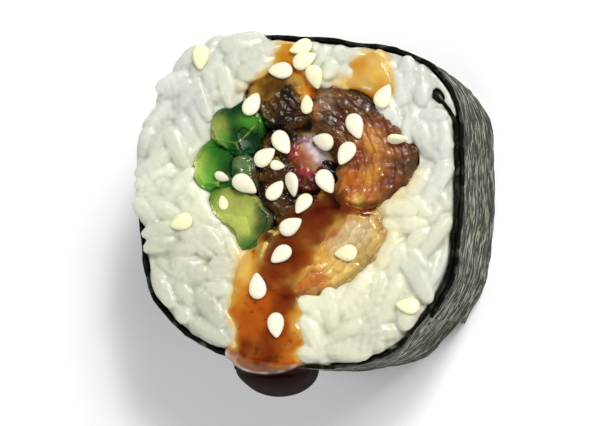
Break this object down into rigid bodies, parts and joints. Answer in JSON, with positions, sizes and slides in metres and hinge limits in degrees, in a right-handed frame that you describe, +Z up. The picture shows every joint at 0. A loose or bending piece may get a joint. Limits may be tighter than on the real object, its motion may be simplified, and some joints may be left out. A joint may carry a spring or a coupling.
{
  "type": "maki sushi roll piece",
  "caption": "Thick cut piece of a rolled sushi lying on a cut face: nori wound round rice, with cucumber and grilled eel through the middle and a drip of glaze.",
  "frame": {"origin": "middle of the box round the piece, on the surface it rests on", "axes": "+Z up along the axis of the roll, towards the cut face that shows; -Y towards the drip of glaze; +X towards the doubled layer of nori"},
  "size_m": [0.0452, 0.049, 0.0258],
  "materials": {
    "nori": "dry roasted seaweed sheet, wrinkled and fibrous, black green with a grey sheen",
    "rice": "moist cooked rice grains, translucent white with a soft gloss",
    "cucumber": "wet cucumber, dark green skin and pale green flesh",
    "eel": "grilled eel, flaky orange brown flesh with dark glazed skin",
    "glaze": "thick sweet soy glaze, red brown and wet",
    "sesame": "toasted hulled sesame seed, cream, satin"
  },
  "bodies": {
    "root": {"nori_sheet": "nori", "rice": "rice", "cucumber_upper": "cucumber", "cucumber_middle": "cucumber", "cucumber_core": "cucumber", "cucumber_lower": "cucumber", "eel_upper_left": "eel", "eel_upper_right": "eel", "eel_centre": "eel", "eel_strip": "eel", "eel_lower": "eel", "sauce_drip": "glaze"}
  },
  "joints": []
}
